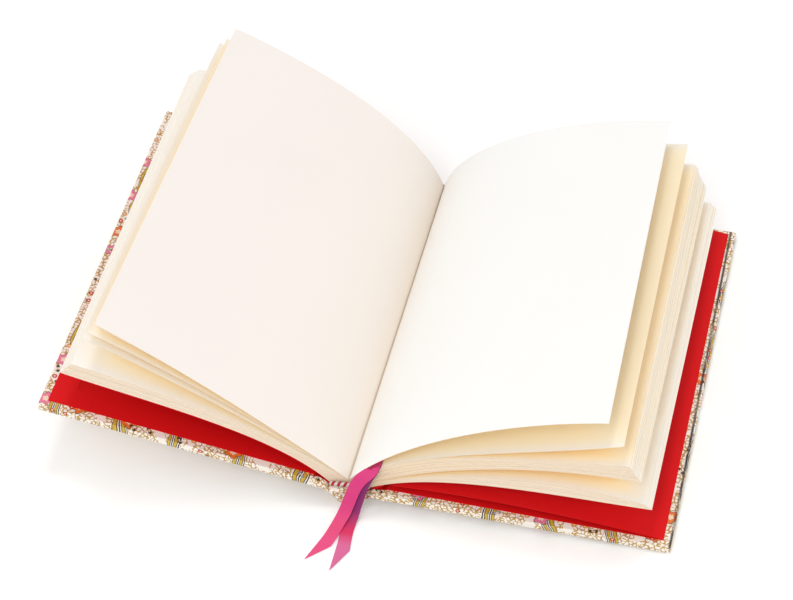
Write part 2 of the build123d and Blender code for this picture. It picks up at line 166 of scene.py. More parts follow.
def shape_bump(tree, shader, height, strength, distance):
    bump = node(tree, "ShaderNodeBump", (), Strength=strength, Distance=distance, Height=height)
    tree.links.new(bump.outputs[0], shader.inputs["Normal"])


page_paper, tree, shader = new_material("cream_page_paper", 0.82, 0.12)
place = node(tree, "ShaderNodeTexCoord").outputs["Object"]
glow = point_value(tree, "glow")
# Painted shade and bounce light: a value set per piece makes the open left page darker and warmer than the
# right one.
tinted = blend_colour(tree, point_value(tree, "page_shade"), (0.955, 0.945, 0.918, 1), (0.915, 0.85, 0.80, 1))
# Painted light: the colour turns yellow and then ochre with the attribute "glow", deep between leaves.
for shallow, deep, colour in (
    (0.0, 0.4, (0.98, 0.87, 0.66, 1)),
    (0.4, 0.75, (0.96, 0.77, 0.45, 1)),
    (0.75, 1.0, (0.85, 0.52, 0.20, 1)),
):
    tinted = blend_colour(tree, ramp(tree, glow, shallow, deep), tinted, colour)
# Painted shade: a brown line is painted along the gutter, where the open pages fold down into it.
tinted = blend_colour(tree, point_value(tree, "gutter_shade"), tinted, (0.56, 0.42, 0.30, 1))
cloud = noise(tree, place, 14.0, 3.0)[0]
fibre = noise(tree, place, 2600.0)[0]
speck = calc(tree, "MULTIPLY_ADD", cloud, 0.03, calc(tree, "MULTIPLY", fibre, 0.03))
grain = calc(tree, "ADD", speck, 0.97)
grained = node(tree, "ShaderNodeVectorMath", {"operation": "SCALE"}, i0=tinted, Scale=grain)
tree.links.new(grained.outputs[0], shader.inputs["Base Color"])
# Painted glow: a weak emission, stronger deep between leaves.
shader.inputs["Emission Color"].default_value = (1.0, 0.75, 0.38, 1)
tree.links.new(calc(tree, "MULTIPLY", glow, 0.08), shader.inputs["Emission Strength"])
shape_bump(tree, shader, fibre, 0.25, 0.00003)


# Page edges: cut paper seen edge on. The attribute "layer" counts leaves through a bundle,
# so noise on it draws the fine lines between them, all the way round the bundle. The ends at
# tail and head are a little darker than the fore edge.
def axes_of(tree, vector):
    return node(tree, "ShaderNodeSeparateXYZ", (), Vector=vector).outputs


page_edge, tree, shader = new_material("cut_page_edges", 0.9, 0.08)
coordinates = node(tree, "ShaderNodeTexCoord").outputs
place_axes = axes_of(tree, coordinates["Object"])
drift = calc(tree, "MULTIPLY", calc(tree, "ADD", place_axes[0], place_axes[1]), 4.0)
across = node(tree, "ShaderNodeCombineXYZ", (), X=point_value(tree, "layer"), Y=drift, Z=0.0).outputs[0]
lines = noise(tree, across, 0.3, 0.0, "2D")[0]
glow = point_value(tree, "glow")
# Painted light: the edges also turn warmer deep between leaves, with the attribute "glow".
pale = blend_colour(tree, glow, (0.98, 0.935, 0.865, 1), (0.95, 0.80, 0.56, 1))
dark = blend_colour(tree, glow, (0.88, 0.78, 0.63, 1), (0.74, 0.55, 0.32, 1))
colour = blend_colour(tree, ramp(tree, lines, 0.30, 0.58), dark, pale)
endward = calc(tree, "ABSOLUTE", axes_of(tree, coordinates["Normal"])[1])
at_end = calc(tree, "GREATER_THAN", endward, 0.7)
ends_darkened = blend_colour(tree, at_end, colour, (0.94, 0.84, 0.73, 1), "MULTIPLY")
tree.links.new(ends_darkened, shader.inputs["Base Color"])
shape_bump(tree, shader, lines, 0.4, 0.0001)

# Pages: about a hundred and eighty leaves, sewn in bundles of folded sheets and glued at the
# back. They fan open in three bundles of layers and six leaves that stand free. Sizes are in
# millimetres, and a section is looked at from the tail, as (x, z).
page_width = 148.0
page_height = 210.0
tail = -page_height / 2
head = page_height / 2
leaf = 0.4
back_half_width = 10.2
back_height = 10.6
back_crown = 0.9
gutter_offset = -0.4
gutter_height = 14.3
gutter_drop = 1.6
root_pull = 0.28
tip_pull = 0.35
leaf_root = 0.03
back_leaf_root = 0.02
back_top_root = 0.34
notch_share = 0.04
notch_depth = 3.0
# Each face has the lift of its edge in degrees, how far it falls short of the page width, and
# the angles at which it leaves its root and arrives at its edge.
tail_faces = {
    "front under": (18.8, 0.3, 48.0, 15.9),
    "front top": (22.4, 4.0, 36.0, 13.5),
    "front inner leaf": (30.7, 2.9, 37.5, 25.5),
    "front leaf": (36.0, 3.2, 39.8, 29.5),
    "back leaf": (28.1, 5.4, 53.1, 10.2),
    "back second leaf": (21.7, 5.0, 44.3, 19.7),
    "back top": (16.1, 6.3, 17.6, 6.5),
    "back under": (11.7, 3.6, 31.3, -3.3),
    "rear top": (5.4, 3.4, 25.5, -12.7),
    "rear under": (4.1, 0.6, 30.0, 0.0),
}
head_faces = {
    "front under": (23.4, 0.0, 60.0, 12.0),
    "front top": (26.0, 3.6, 55.0, 10.0),
    "front inner leaf": (35.5, 4.5, 66.0, 22.0),
    "front leaf": (41.4, 5.4, 76.3, 23.9),
    "back leaf": (29.0, 10.5, 75.9, 5.6),
    "back second leaf": (22.0, 8.3, 62.0, 10.0),
    "back top": (16.2, 8.4, 16.0, 4.0),
    "back under": (9.2, 6.0, 31.3, 0.0),
    "rear top": (5.3, 5.3, 25.5, -3.0),
    "rear under": (3.4, 1.0, 30.0, 0.0),
}


def step(side, angle, length):
    return Vector((side * cos(radians(angle)), sin(radians(angle)))) * length


def at(curve, t):
    a, b, c, d = curve
    u = 1 - t
    return a * u**3 + b * (3 * u * u * t) + c * (3 * u * t * t) + d * t**3


def heading(curve, t):
    a, b, c, d = curve
    u = 1 - t
    return ((b - a) * u * u + (c - b) * (2 * u * t) + (d - c) * t * t).normalized()


def beneath(curve, side, t, depth):
    way = heading(curve, t)
    return at(curve, t) + Vector((side * way.y, -side * way.x)) * depth


def underside(curve, side, t):
    """The lower face of a leaf, from this share of its upper face out to its edge."""
    start = beneath(curve, side, t, leaf)
    end = beneath(curve, side, 1.0, leaf)
    chord = (end - start).length
    leave = start + heading(curve, t) * (root_pull * chord)
    arrive = end - heading(curve, 1) * (tip_pull * chord)
    return [start, leave, arrive, end]


def page_section(share):
    """All the page faces in section, this share of the way from tail to head."""
    sizes = {
        name: [low + (high - low) * share for low, high in zip(tail_faces[name], head_faces[name])]
        for name in tail_faces
    }
    gutter = Vector((gutter_offset, gutter_height - gutter_drop * share))

    def face(root, side, name):
        lift, shortfall, leave, arrive = sizes[name]
        tip = gutter + step(side, lift, page_width - shortfall)
        chord = (tip - root).length
        near_root = root + step(side, leave, root_pull * chord)
        near_tip = tip - step(side, arrive, tip_pull * chord)
        return [root, near_root, near_tip, tip]

    made = {"gutter": gutter}
    made["front leaf"] = face(gutter, -1, "front leaf")
    made["front leaf under"] = underside(made["front leaf"], -1, leaf_root)
    made["front inner leaf"] = face(made["front leaf under"][0], -1, "front inner leaf")
    made["front inner under"] = underside(made["front inner leaf"], -1, leaf_root)
    made["front top"] = face(made["front inner under"][0], -1, "front top")
    made["front under"] = face(Vector((-back_half_width, back_height)), -1, "front under")
    made["back leaf"] = face(gutter, 1, "back leaf")
    made["back leaf under"] = underside(made["back leaf"], 1, back_leaf_root)
    made["back second leaf"] = face(made["back leaf under"][0], 1, "back second leaf")
    made["back second under"] = underside(made["back second leaf"], 1, leaf_root)
    made["back top"] = face(beneath(made["back second leaf"], 1, back_top_root, leaf), 1, "back top")
    made["rear under"] = face(Vector((back_half_width, back_height)), 1, "rear under")
    notch = beneath(made["rear under"], 1, notch_share, -notch_depth)
    made["back under"] = face(notch, 1, "back under")
    made["rear top"] = face(notch, 1, "rear top")
    return made


end_steps = [0.0, 0.012, 0.03, 0.06]
middle_steps = [0.1 + 0.05 * count for count in range(17)]
station_shares = end_steps + middle_steps + [1 - share for share in reversed(end_steps)]
stations = len(station_shares)
columns = 40
sections = [page_section(share) for share in station_shares]
section_y = [tail + page_height * share for share in station_shares]


def line_of(curve, start=0.0, end=1.0, count=48):
    return [at(curve, start + (end - start) * index / (count - 1)) for index in range(count)]


def even_points(points):
    """The same line in as many points as there are columns, nearer to each other at the root."""
    lengths = [0.0]
    for before, after in zip(points, points[1:]):
        lengths.append(lengths[-1] + (after - before).length)
    found = []
    spot = 0
    for index in range(columns):
        share = index / (columns - 1)
        target = lengths[-1] * (0.35 * share + 0.65 * share * share) if index < columns - 1 else lengths[-1]
        while spot < len(points) - 2 and lengths[spot + 1] < target:
            spot += 1
        span = lengths[spot + 1] - lengths[spot] or 1.0
        found.append(points[spot].lerp(points[spot + 1], min(1.0, (target - lengths[spot]) / span)))
    return found


def back_point(x):
    """A point just above the arched back to which all the pages are glued."""
    return Vector((x, back_height + back_crown * (1 - (x / back_half_width) ** 2) + 0.02))


def from_root(name):
    return [even_points(line_of(made[name])) for made in sections]


def from_gutter(name):
    return [even_points([made["gutter"]] + line_of(made[name])) for made in sections]


def from_back(name, x):
    return [even_points([back_point(x)] + line_of(made[name])) for made in sections]


front_leaf_line = from_root("front leaf")
front_leaf_under_line = from_gutter("front leaf under")
inner_top_line = from_gutter("front inner leaf")
inner_under_line = from_gutter("front inner under")
front_top_line = [
    even_points([back_point(-0.5), made["gutter"]] + line_of(made["front top"], 0.01)) for made in sections
]
front_under_line = from_root("front under")
back_leaf_line = from_root("back leaf")
back_leaf_under_line = from_gutter("back leaf under")
second_leaf_line = from_gutter("back second leaf")
second_under_line = from_gutter("back second under")
back_top_line = [
    even_points(
        [back_point(-0.3), made["gutter"]]
        + line_of(made["back second under"], 0.0, 0.32, 16)
        + line_of(made["back top"], 0.02)
    )
    for made in sections
]
back_under_line = from_back("back under", 7.0)
rear_top_line = from_back("rear top", 7.1)
rear_under_line = from_root("rear under")


def smooth(value):
    value = max(0.0, min(1.0, value))
    return value * value * (3 - 2 * value)


def gap_glow(own, other, most=0.0, least=0.0):
    """How deep a point lies in the gap between two page faces: 0 in the open, up to the most."""
    def deepness(station, column):
        if other is None:
            return 0.0
        here = own[station][column]
        gap = (other[station][column] - here).length
        to_edge = (own[station][-1] - here).length
        to_end = min(section_y[station] - tail, head - section_y[station])
        lowest = least * smooth((to_end + 4.0) / 14.0)
        inside = min(to_edge, to_end * 1.6)
        return lowest + (most - lowest) * smooth((inside + 1.8) / (1.8 * gap + 3.0))
    return deepness


def open_glow(own, wide, strength):
    """The warm shade beside the gutter on a page that lies open."""
    def shade(station, column):
        away = (own[station][column] - own[station][0]).length
        return strength * exp(-away / wide)
    return shade


def face_outward(mesh):
    shell = bmesh.new()
    shell.from_mesh(mesh)
    bmesh.ops.recalc_face_normals(shell, faces=shell.faces)
    shell.to_mesh(mesh)
    shell.free()


def new_piece(name, verts, faces, *materials):
    """A closed piece from points in millimetres, with all its faces turned outward."""
    mesh = bpy.data.meshes.new(name)
    mesh.from_pydata([(x / 1000, y / 1000, z / 1000) for x, y, z in verts], [], faces)
    face_outward(mesh)
    for material in materials:
        mesh.materials.append(material)
    piece = bpy.data.objects.new(name, mesh)
    scene.collection.objects.link(piece)
    return piece


def mark_points(piece, title, values):
    piece.data.attributes.new(title, "FLOAT", "POINT").data.foreach_set("value", values)


def smooth_faces(piece, sharp_angle):
    piece.data.shade_smooth()
    piece.data.set_sharp_from_angle(angle=radians(sharp_angle))


def page_slabs(name, top, bottom, shares, top_glow, bottom_glow, trims, leaves, page_shade=0.4, gutter_shade=0.0):
    """Layers of paper between two page faces, each a closed thin slab with its own trimmed edges."""
    verts = []
    faces = []
    edge_face = []
    glows = []
    layers = []
    gutter_shades = []
    for (share_high, share_low), (out_trim, tail_trim, head_trim) in zip(shares, trims):
        base = len(verts)
        for share, glow_of in ((share_high, top_glow), (share_low, bottom_glow)):
            for station in range(stations):
                y = section_y[station]
                if station == 0:
                    y += tail_trim
                if station == stations - 1:
                    y -= head_trim
                for column in range(columns):
                    spot = top[station][column].lerp(bottom[station][column], share)
                    if column == columns - 1:
                        inner = top[station][column - 1].lerp(bottom[station][column - 1], share)
                        spot = spot + (inner - spot).normalized() * out_trim
                    verts.append((spot.x, y, spot.y))
                    glows.append(glow_of(station, column))
                    layers.append(share * leaves)
                    gutter_shades.append(gutter_shade * exp(-(top[station][column] - top[station][0]).length / 0.5))
        count = stations * columns
        for station in range(stations - 1):
            for column in range(columns - 1):
                a = base + station * columns + column
                b = a + 1
                c = a + columns + 1
                d = a + columns
                faces += [(a, b, c, d), (d + count, c + count, b + count, a + count)]
                edge_face += [0, 0]
        for column in range(columns - 1):
            a = base + column
            b = base + (stations - 1) * columns + column
            faces += [(a, a + count, a + count + 1, a + 1), (b + 1, b + count + 1, b + count, b)]
            edge_face += [1, 1]
        for station in range(stations - 1):
            a = base + station * columns + columns - 1
            b = base + station * columns
            faces.append((a, a + count, a + count + columns, a + columns))
            faces.append((b + columns, b + count + columns, b + count, b))
            edge_face += [1, 1]
    piece = new_piece(name, verts, faces, page_paper, page_edge)
    piece.data.polygons.foreach_set("material_index", edge_face)
    mark_points(piece, "glow", glows)
    mark_points(piece, "layer", layers)
    mark_points(piece, "gutter_shade", gutter_shades)
    mark_points(piece, "page_shade", [page_shade] * len(verts))
    smooth_faces(piece, 35)
    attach(piece, "book_block")
    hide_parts("page_block")


def layer_shares(count, groove):
    """Uneven layers through a bundle, with a narrow groove between neighbours."""
    marks = [0.0]
    for _ in range(count):
        marks.append(marks[-1] + random.uniform(0.75, 1.25))
    marks = [mark / marks[-1] for mark in marks]
    return [
        (low + (groove if index else 0.0), high - (groove if index < count - 1 else 0.0))
        for index, (low, high) in enumerate(zip(marks, marks[1:]))
    ]


def layer_trims(count, out_most, end_most):
    """How far each layer stays back at its fore edge, tail and head."""
    return [
        (random.uniform(0, out_most), random.uniform(0, end_most), random.uniform(0, end_most))
        for _ in range(count)
    ]


def fanned(high, low, start, end):
    """A free leaf that bends away from the one above it, by its shares of the gap at root and edge."""
    found = []
    for above, below in zip(high, low):
        last = len(above) - 1
        found.append([
            a.lerp(b, start + (end - start) * (index / last) ** 1.5)
            for index, (a, b) in enumerate(zip(above, below))
        ])
    return found


random.seed(7)
untrimmed = (0.0, 0.0, 0.0)
page_slabs(
    "front_pages", front_top_line, front_under_line, layer_shares(9, 0.004),
    gap_glow(front_top_line, inner_under_line, 0.8, 0.03), gap_glow(front_under_line, None),
    layer_trims(9, 0.5, 0.3), 70,
)
page_slabs(
    "front_inner_leaf", inner_top_line, inner_under_line, [(0.0, 0.36), (0.62, 1.0)],
    gap_glow(inner_top_line, front_leaf_under_line, 0.8, 0.1),
    gap_glow(inner_under_line, front_top_line, 0.7, 0.1),
    [untrimmed, (0.7, 0.25, 0.2)], 2,
)
for name, start, end, out_trim, end_trim in (
    ("front_loose_leaf_1", 0.1, 0.16, 2.2, 1.4),
    ("front_loose_leaf_2", 0.45, 0.6, 0.8, 0.6),
):
    upper_line = fanned(front_leaf_under_line, inner_top_line, start, end)
    lower_line = fanned(front_leaf_under_line, inner_top_line, start + 0.03, end + 0.014)
    page_slabs(
        name, upper_line, lower_line, [(0.0, 1.0)],
        gap_glow(upper_line, front_leaf_under_line, 0.9, 0.3), gap_glow(lower_line, inner_top_line, 0.9, 0.3),
        [(out_trim, end_trim, end_trim)], 1,
    )
page_slabs(
    "front_leaf", front_leaf_line, front_leaf_under_line, [(0.0, 0.36), (0.62, 1.0)],
    open_glow(front_leaf_line, 22.0, 0.10), gap_glow(front_leaf_under_line, inner_top_line, 0.8, 0.2),
    [untrimmed, (0.5, 0.2, 0.2)], 2, page_shade=1.0, gutter_shade=0.85,
)
page_slabs(
    "back_leaf", back_leaf_line, back_leaf_under_line, [(0.0, 0.5)],
    open_glow(back_leaf_line, 9.0, 0.07), gap_glow(back_leaf_under_line, second_leaf_line, 0.5, 0.1),
    [untrimmed], 1, page_shade=0.0, gutter_shade=0.85,
)
page_slabs(
    "back_second_leaf", second_leaf_line, second_under_line, [(0.0, 0.5)],
    gap_glow(second_leaf_line, back_leaf_under_line, 0.6, 0.42),
    gap_glow(second_under_line, back_top_line, 0.9, 0.4),
    [untrimmed], 1,
)
page_slabs(
    "back_pages", back_top_line, back_under_line, layer_shares(12, 0.003),
    gap_glow(back_top_line, second_under_line, 0.9, 0.42), gap_glow(back_under_line, rear_top_line, 1.0, 0.3),
    layer_trims(12, 0.6, 0.35), 90,
)
page_slabs(
    "rear_pages", rear_top_line, rear_under_line, layer_shares(4, 0.01),
    gap_glow(rear_top_line, back_under_line, 0.95, 0.12), gap_glow(rear_under_line, None),
    layer_trims(4, 0.5, 0.3), 26,
)


# Red endpapers: smooth dyed paper, a little mottled. One leaf of each is pasted inside its
# cover, and the other lies free beside the pages.
def finish_node(name, material):
    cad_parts[name].data.materials.clear()
    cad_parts[name].data.materials.append(material)


red_paper, tree, shader = new_material("red_endpaper", 0.62, 0.14)
place = node(tree, "ShaderNodeTexCoord").outputs["Object"]
cloud = noise(tree, place, 25.0, 4.0)[0]
fibre = noise(tree, place, 1800.0, 3.0)[0]
mottle = calc(tree, "MULTIPLY_ADD", fibre, 0.35, calc(tree, "MULTIPLY", cloud, 0.65))
colour = blend_colour(tree, mottle, (0.66, 0.006, 0.006, 1), (0.83, 0.008, 0.013, 1))
tree.links.new(colour, shader.inputs["Base Color"])
shape_bump(tree, shader, fibre, 0.3, 0.00004)
for name in ("front_pastedown", "back_pastedown", "front_flyleaf", "back_flyleaf", "back_endpaper_fold"):
    finish_node(name, red_paper)

# Printed covering paper: an ivory ground filled with ochre twigs, with striped stems that run
# from tail to head, round blooms and small leaves. Each cover's print lies in its own plane
# and follows the paper over the edges of the board.
front_rise = radians(11.1)
back_fall = radians(2.9)
front_across = (-cos(front_rise), 0, sin(front_rise))
front_up = (sin(front_rise), 0, cos(front_rise))
back_across = (cos(back_fall), 0, -sin(back_fall))
back_up = (sin(back_fall), 0, cos(back_fall))
ivory = (0.96, 0.90, 0.81, 1)
over_edge = 0.6
stem_pitch = 0.031
stem_half = 0.105
stem_stripes = 9.5
petal_turn = 6.28
crease_place = 0.15407
crease_slant = -0.0115


def dot(tree, first, second):
    product = node(tree, "ShaderNodeVectorMath", {"operation": "DOT_PRODUCT"}, i0=first, i1=second)
    return product.outputs["Value"]


def within(tree, value, centre, reach):
    """1 where a value lies this near to the centre, or else 0."""
    away = calc(tree, "ABSOLUTE", calc(tree, "SUBTRACT", value, centre))
    return calc(tree, "LESS_THAN", away, reach)


def turned_over(tree, share):
    """How far a face looks to one side, kept only on the edges and not on the cover's flat faces."""
    steep = calc(tree, "GREATER_THAN", calc(tree, "ABSOLUTE", share), over_edge)
    return calc(tree, "MULTIPLY", share, steep)


def cells_of(tree, place, scale, settings=(), **links):
    return node(tree, "ShaderNodeTexVoronoi", {"voronoi_dimensions": "2D", **dict(settings)},
                Vector=place, Scale=scale, **links).outputs


def printed_paper(name, across, up, top, shift, crease_shade=False):
    material, tree, shader = new_material(name, 0.42, 0.35)
    coordinates = node(tree, "ShaderNodeTexCoord").outputs
    place = coordinates["Object"]
    facing = coordinates["Normal"]
    u = dot(tree, place, across)
    y = axes_of(tree, place)[1]
    depth = calc(tree, "SUBTRACT", top, dot(tree, place, up))
    out_turn = turned_over(tree, dot(tree, facing, across))
    end_turn = turned_over(tree, axes_of(tree, facing)[1])
    sheet_u = calc(tree, "ADD", calc(tree, "MULTIPLY_ADD", depth, out_turn, u), shift)
    sheet_v = calc(tree, "MULTIPLY_ADD", depth, end_turn, y)
    sheet = node(tree, "ShaderNodeCombineXYZ", (), X=sheet_u, Y=sheet_v, Z=0.0).outputs[0]
    sway = noise(tree, sheet, 28.0, 2.0, "2D")
    bent = node(tree, "ShaderNodeVectorMath", {"operation": "SCALE"}, i0=sway[1], Scale=0.006).outputs[0]
    drawn = node(tree, "ShaderNodeVectorMath", {"operation": "ADD"}, i0=sheet, i1=bent).outputs[0]
    # Twigs: the lines between the cells of a net, broken up so that they end freely.
    net = cells_of(tree, drawn, 470.0, {"feature": "DISTANCE_TO_EDGE"})[0]
    breaks = noise(tree, sheet, 420.0, 2.0, "2D")[0]
    clear = noise(tree, sheet, 75.0, 2.0, "2D")[0]
    thickness = calc(tree, "MULTIPLY_ADD", breaks, 0.64, -0.19)
    stroke = calc(tree, "MULTIPLY", thickness, calc(tree, "LESS_THAN", clear, 0.6))
    twigs = calc(tree, "LESS_THAN", net, stroke)
    ochre = blend_colour(tree, clear, (0.42, 0.25, 0.05, 1), (0.66, 0.42, 0.13, 1))
    colour = blend_colour(tree, twigs, ivory, ochre)
    # Stems: bands along the cover, each of mustard and black stripes with uneven edges.
    swayed = calc(tree, "MULTIPLY_ADD", sway[0], 0.5, calc(tree, "DIVIDE", sheet_u, stem_pitch))
    inside = calc(tree, "FRACT", swayed)
    in_stem = within(tree, inside, 0.5, stem_half)
    from_side = calc(tree, "SUBTRACT", inside, 0.5 - stem_half)
    stripes = calc(tree, "FRACT", calc(tree, "MULTIPLY", from_side, stem_stripes))
    mustard = within(tree, stripes, 0.72, 0.2)
    outline = within(tree, stripes, 0.72, 0.31)
    line = within(tree, stripes, 0.2, 0.085)
    black = calc(tree, "MAXIMUM", line, calc(tree, "SUBTRACT", outline, mustard))
    grained = blend_colour(tree, breaks, (0.42, 0.27, 0.02, 1), (0.80, 0.56, 0.07, 1))
    stem = blend_colour(tree, mustard, ivory, grained)
    stem = blend_colour(tree, black, stem, (0.02, 0.015, 0.01, 1))
    colour = blend_colour(tree, in_stem, colour, stem)
    # Blooms, leaves and berries: one to a cell of three coarser nets, most cells left empty.
    for scale, size, petals, wave, chance, tints in (
        (76.0, 0.34, 5.0, 0.16, 0.30, ((0.84, 0.22, 0.36, 1), (0.82, 0.19, 0.03, 1))),
        (130.0, 0.30, 2.0, 0.55, 0.28, ((0.05, 0.05, 0.03, 1), (0.30, 0.36, 0.38, 1))),
        (190.0, 0.24, 1.0, 0.0, 0.12, ((0.62, 0.03, 0.02, 1), (0.80, 0.35, 0.04, 1))),
    ):
        cells = cells_of(tree, sheet, scale, Randomness=0.75)
        distance = cells["Distance"]
        centre = cells["Position"]
        offset = node(tree, "ShaderNodeVectorMath", {"operation": "SUBTRACT"}, i0=sheet, i1=centre).outputs[0]
        parts = axes_of(tree, offset)
        chances = axes_of(tree, cells["Color"])
        angle = calc(tree, "ARCTAN2", parts[1], parts[0])
        turned = calc(tree, "MULTIPLY_ADD", angle, petals, calc(tree, "MULTIPLY", chances[0], petal_turn))
        rim = calc(tree, "MULTIPLY_ADD", calc(tree, "COSINE", turned), wave * size, size * (1 - wave))
        inside_bloom = calc(tree, "LESS_THAN", distance, rim)
        present = calc(tree, "LESS_THAN", chances[1], chance)
        share = calc(tree, "DIVIDE", distance, rim)
        petal = blend_colour(tree, calc(tree, "GREATER_THAN", chances[2], 0.5), tints[0], tints[1])
        light = blend_colour(tree, calc(tree, "GREATER_THAN", share, 0.4), (0.90, 0.72, 0.52, 1), petal)
        ringed = blend_colour(tree, calc(tree, "GREATER_THAN", share, 0.9), light, (0.16, 0.06, 0.04, 1))
        colour = blend_colour(tree, calc(tree, "MULTIPLY", inside_bloom, present), colour, ringed)
    if crease_shade:
        # Painted shade: a dark line of shade is painted along the fold where the paper turns over the edge,
        # and it runs out to the corner at the tail.
        line_at = calc(tree, "MULTIPLY_ADD", y, crease_slant, crease_place)
        from_line = calc(tree, "ABSOLUTE", calc(tree, "SUBTRACT", u, line_at))
        soft = ramp(tree, from_line, 0.0003, 0.0009, 0.95, 0.0)
        line_strength = ramp(tree, clear, 0.3, 0.5, 0.6)
        on_top = calc(tree, "LESS_THAN", calc(tree, "ABSOLUTE", depth), 0.0006)
        crease_shadow = calc(tree, "MULTIPLY", calc(tree, "MULTIPLY", soft, line_strength), on_top)
        colour = blend_colour(tree, crease_shadow, colour, (0.03, 0.026, 0.022, 1))
    tree.links.new(colour, shader.inputs["Base Color"])
    shape_bump(tree, shader, noise(tree, place, 1500.0)[0], 0.2, 0.00003)
    return material


front_print = printed_paper("front_cover_print", front_across, front_up, top=0.01061, shift=0.509)
back_print = printed_paper("back_cover_print", back_across, back_up, top=0.01192, shift=0.81, crease_shade=True)
spine_print = printed_paper("spine_print", (1, 0, 0), (0, 0, 1), top=0.009, shift=0.6432)
finish_node("front_cover_paper", front_print)
finish_node("back_cover_paper", back_print)
finish_node("spine_paper", spine_print)

# Joints: the covering paper and the endpaper run unbroken from the spine on to each cover.
# These strips close the CAD model's hinge gaps, and the folds close the joints at tail and
# head.
hinge_offset = 14.4
shoulder = (10.4, 9.2)
case_tail = tail - 4.1
case_head = head + 3.0


def strip_faces(count, first=0):
    """Faces of a closed strip whose points are a lower and an upper line, at its near and far end."""
    faces = []
    for k in range(count - 1):
        faces.append((k, k + 1, 2 * count + k + 1, 2 * count + k))
        faces.append((count + k, 3 * count + k, 3 * count + k + 1, count + k + 1))
        faces.append((k, count + k, count + k + 1, k + 1))
        faces.append((2 * count + k, 2 * count + k + 1, 3 * count + k + 1, 3 * count + k))
    faces.append((0, 2 * count, 3 * count, count))
    faces.append((count - 1, 2 * count - 1, 4 * count - 1, 3 * count - 1))
    return [tuple(first + corner for corner in face) for face in faces]


def strip_piece(name, lower, upper, near, far, material):
    verts = [(x, y, z) for y in (near, far) for x, z in lower + upper]
    return new_piece(name, verts, strip_faces(len(lower)), material)


def soften_edges(piece, width, segments):
    bevel = piece.modifiers.new("soft_edges", "BEVEL")
    bevel.width = width
    bevel.segments = segments


for side, cover, hinge_height, across, up, material in (
    (-1, "front_cover", 11.6, front_across, front_up, front_print),
    (1, "back_cover", 9.2, back_across, back_up, back_print),
):
    hinge = Vector((side * hinge_offset, hinge_height))
    spine_edge = Vector((side * shoulder[0], shoulder[1]))
    over = Vector((across[0], across[2]))
    lift = Vector((up[0], up[2]))
    inward = (spine_edge - hinge).normalized()
    inner_lift = Vector((side * inward.y, -side * inward.x))
    for title, paper, finish, low, high, half, near, far in (
        ("joint_paper", material, "printed_paper", -0.33, 0.03, 0.9, case_tail, case_head),
        ("joint_endpaper", red_paper, "endpaper", 0.02, 0.36, 0.7, tail, head),
    ):
        line = []
        for reach in (-half, -0.5 * half, 0.0, 0.5 * half, half):
            spot = hinge + (inward * -reach if reach < 0 else over * reach)
            line.append((spot, inner_lift.lerp(lift, (reach + half) / (2 * half)).normalized()))
        lower = [spot + way * low for spot, way in line]
        upper = [spot + way * high for spot, way in line]
        strip = strip_piece(cover + "_" + title, lower, upper, near, far, paper)
        start = hinge + inward * 0.6
        end = hinge + over * 0.6
        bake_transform(strip)
    lower = [
        hinge + over * 4.1 - lift * 2.0,
        hinge + over * 1.6 - lift * 1.75,
        hinge - lift * 1.4,
        spine_edge - Vector((side * -0.1, 0.55)),
    ]
    upper = [
        hinge + over * 4.1 + lift * 2.0,
        hinge + over * 1.6 + lift * 1.7,
        hinge + lift * 1.35,
        spine_edge + Vector((side * 0.7, 1.25)),
    ]
    for title, near, far in (
        ("tail_fold", case_tail - 0.25, tail - 0.1),
        ("head_fold", head + 0.1, case_head + 0.25),
    ):
        fold = strip_piece(cover + "_" + title, lower, upper, near, far, material)
        soften_edges(fold, 0.0004, 2)
        start = hinge + inward * 3.0
        end = hinge + over * 3.0
        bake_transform(fold)

# Spine ends: the covering paper is turned in over both ends of the spine and stands up there
# in a soft roll, close below the tail band and lower at the head, where the ribbons pass.
low_line = [(-10.3, 8.9), (-7.0, 4.7), (-3.5, 0.35), (3.5, 0.35), (7.0, 4.7), (10.3, 8.9)]
for name, near, far, crown in (
    ("spine_tail_fold", case_tail - 0.3, tail - 0.4, 10.25),
    ("spine_head_fold", head + 0.4, case_head + 0.3, 8.3),
):
    high_line = [
        (-9.8, 9.5), (-6.6, crown - 0.3), (-3.3, crown), (3.3, crown), (6.6, crown - 0.3), (9.8, 9.5),
    ]
    fold = strip_piece(name, low_line, high_line, near, far, spine_print)
    soften_edges(fold, 0.0007, 3)
    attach(fold, "book_block")

# Boards: grey pasted pulp board inside the covers, and the flexible card inside the spine.
# All three are out of sight, under the covering paper and the endpapers.
grey_board, tree, shader = new_material("grey_board", 0.95, 0.05)
place = node(tree, "ShaderNodeTexCoord").outputs["Object"]
pulp = noise(tree, place, 900.0, 4.0)[0]
colour = blend_colour(tree, pulp, (0.22, 0.20, 0.18, 1), (0.38, 0.35, 0.31, 1))
tree.links.new(colour, shader.inputs["Base Color"])
shape_bump(tree, shader, pulp, 0.5, 0.0001)
for name in ("front_board", "back_board", "spine_board"):
    finish_node(name, grey_board)

# Back lining: open-weave cotton cloth, glued over the backs of the sewn pages. It shows only
# in the hollow between the pages and the spine.
lining_cloth, tree, shader = new_material("lining_cloth", 0.95, 0.05)
place = node(tree, "ShaderNodeTexCoord").outputs["Object"]
warp = node(tree, "ShaderNodeTexWave", {"bands_direction": "X"}, Vector=place, Scale=350.0).outputs[1]
weft = node(tree, "ShaderNodeTexWave", {"bands_direction": "Y"}, Vector=place, Scale=350.0).outputs[1]
weave = calc(tree, "MULTIPLY", warp, weft)
colour = blend_colour(tree, weave, (0.55, 0.50, 0.42, 1), (0.85, 0.82, 0.75, 1))
tree.links.new(colour, shader.inputs["Base Color"])
shape_bump(tree, shader, weave, 0.6, 0.0001)
finish_node("spine_lining", lining_cloth)

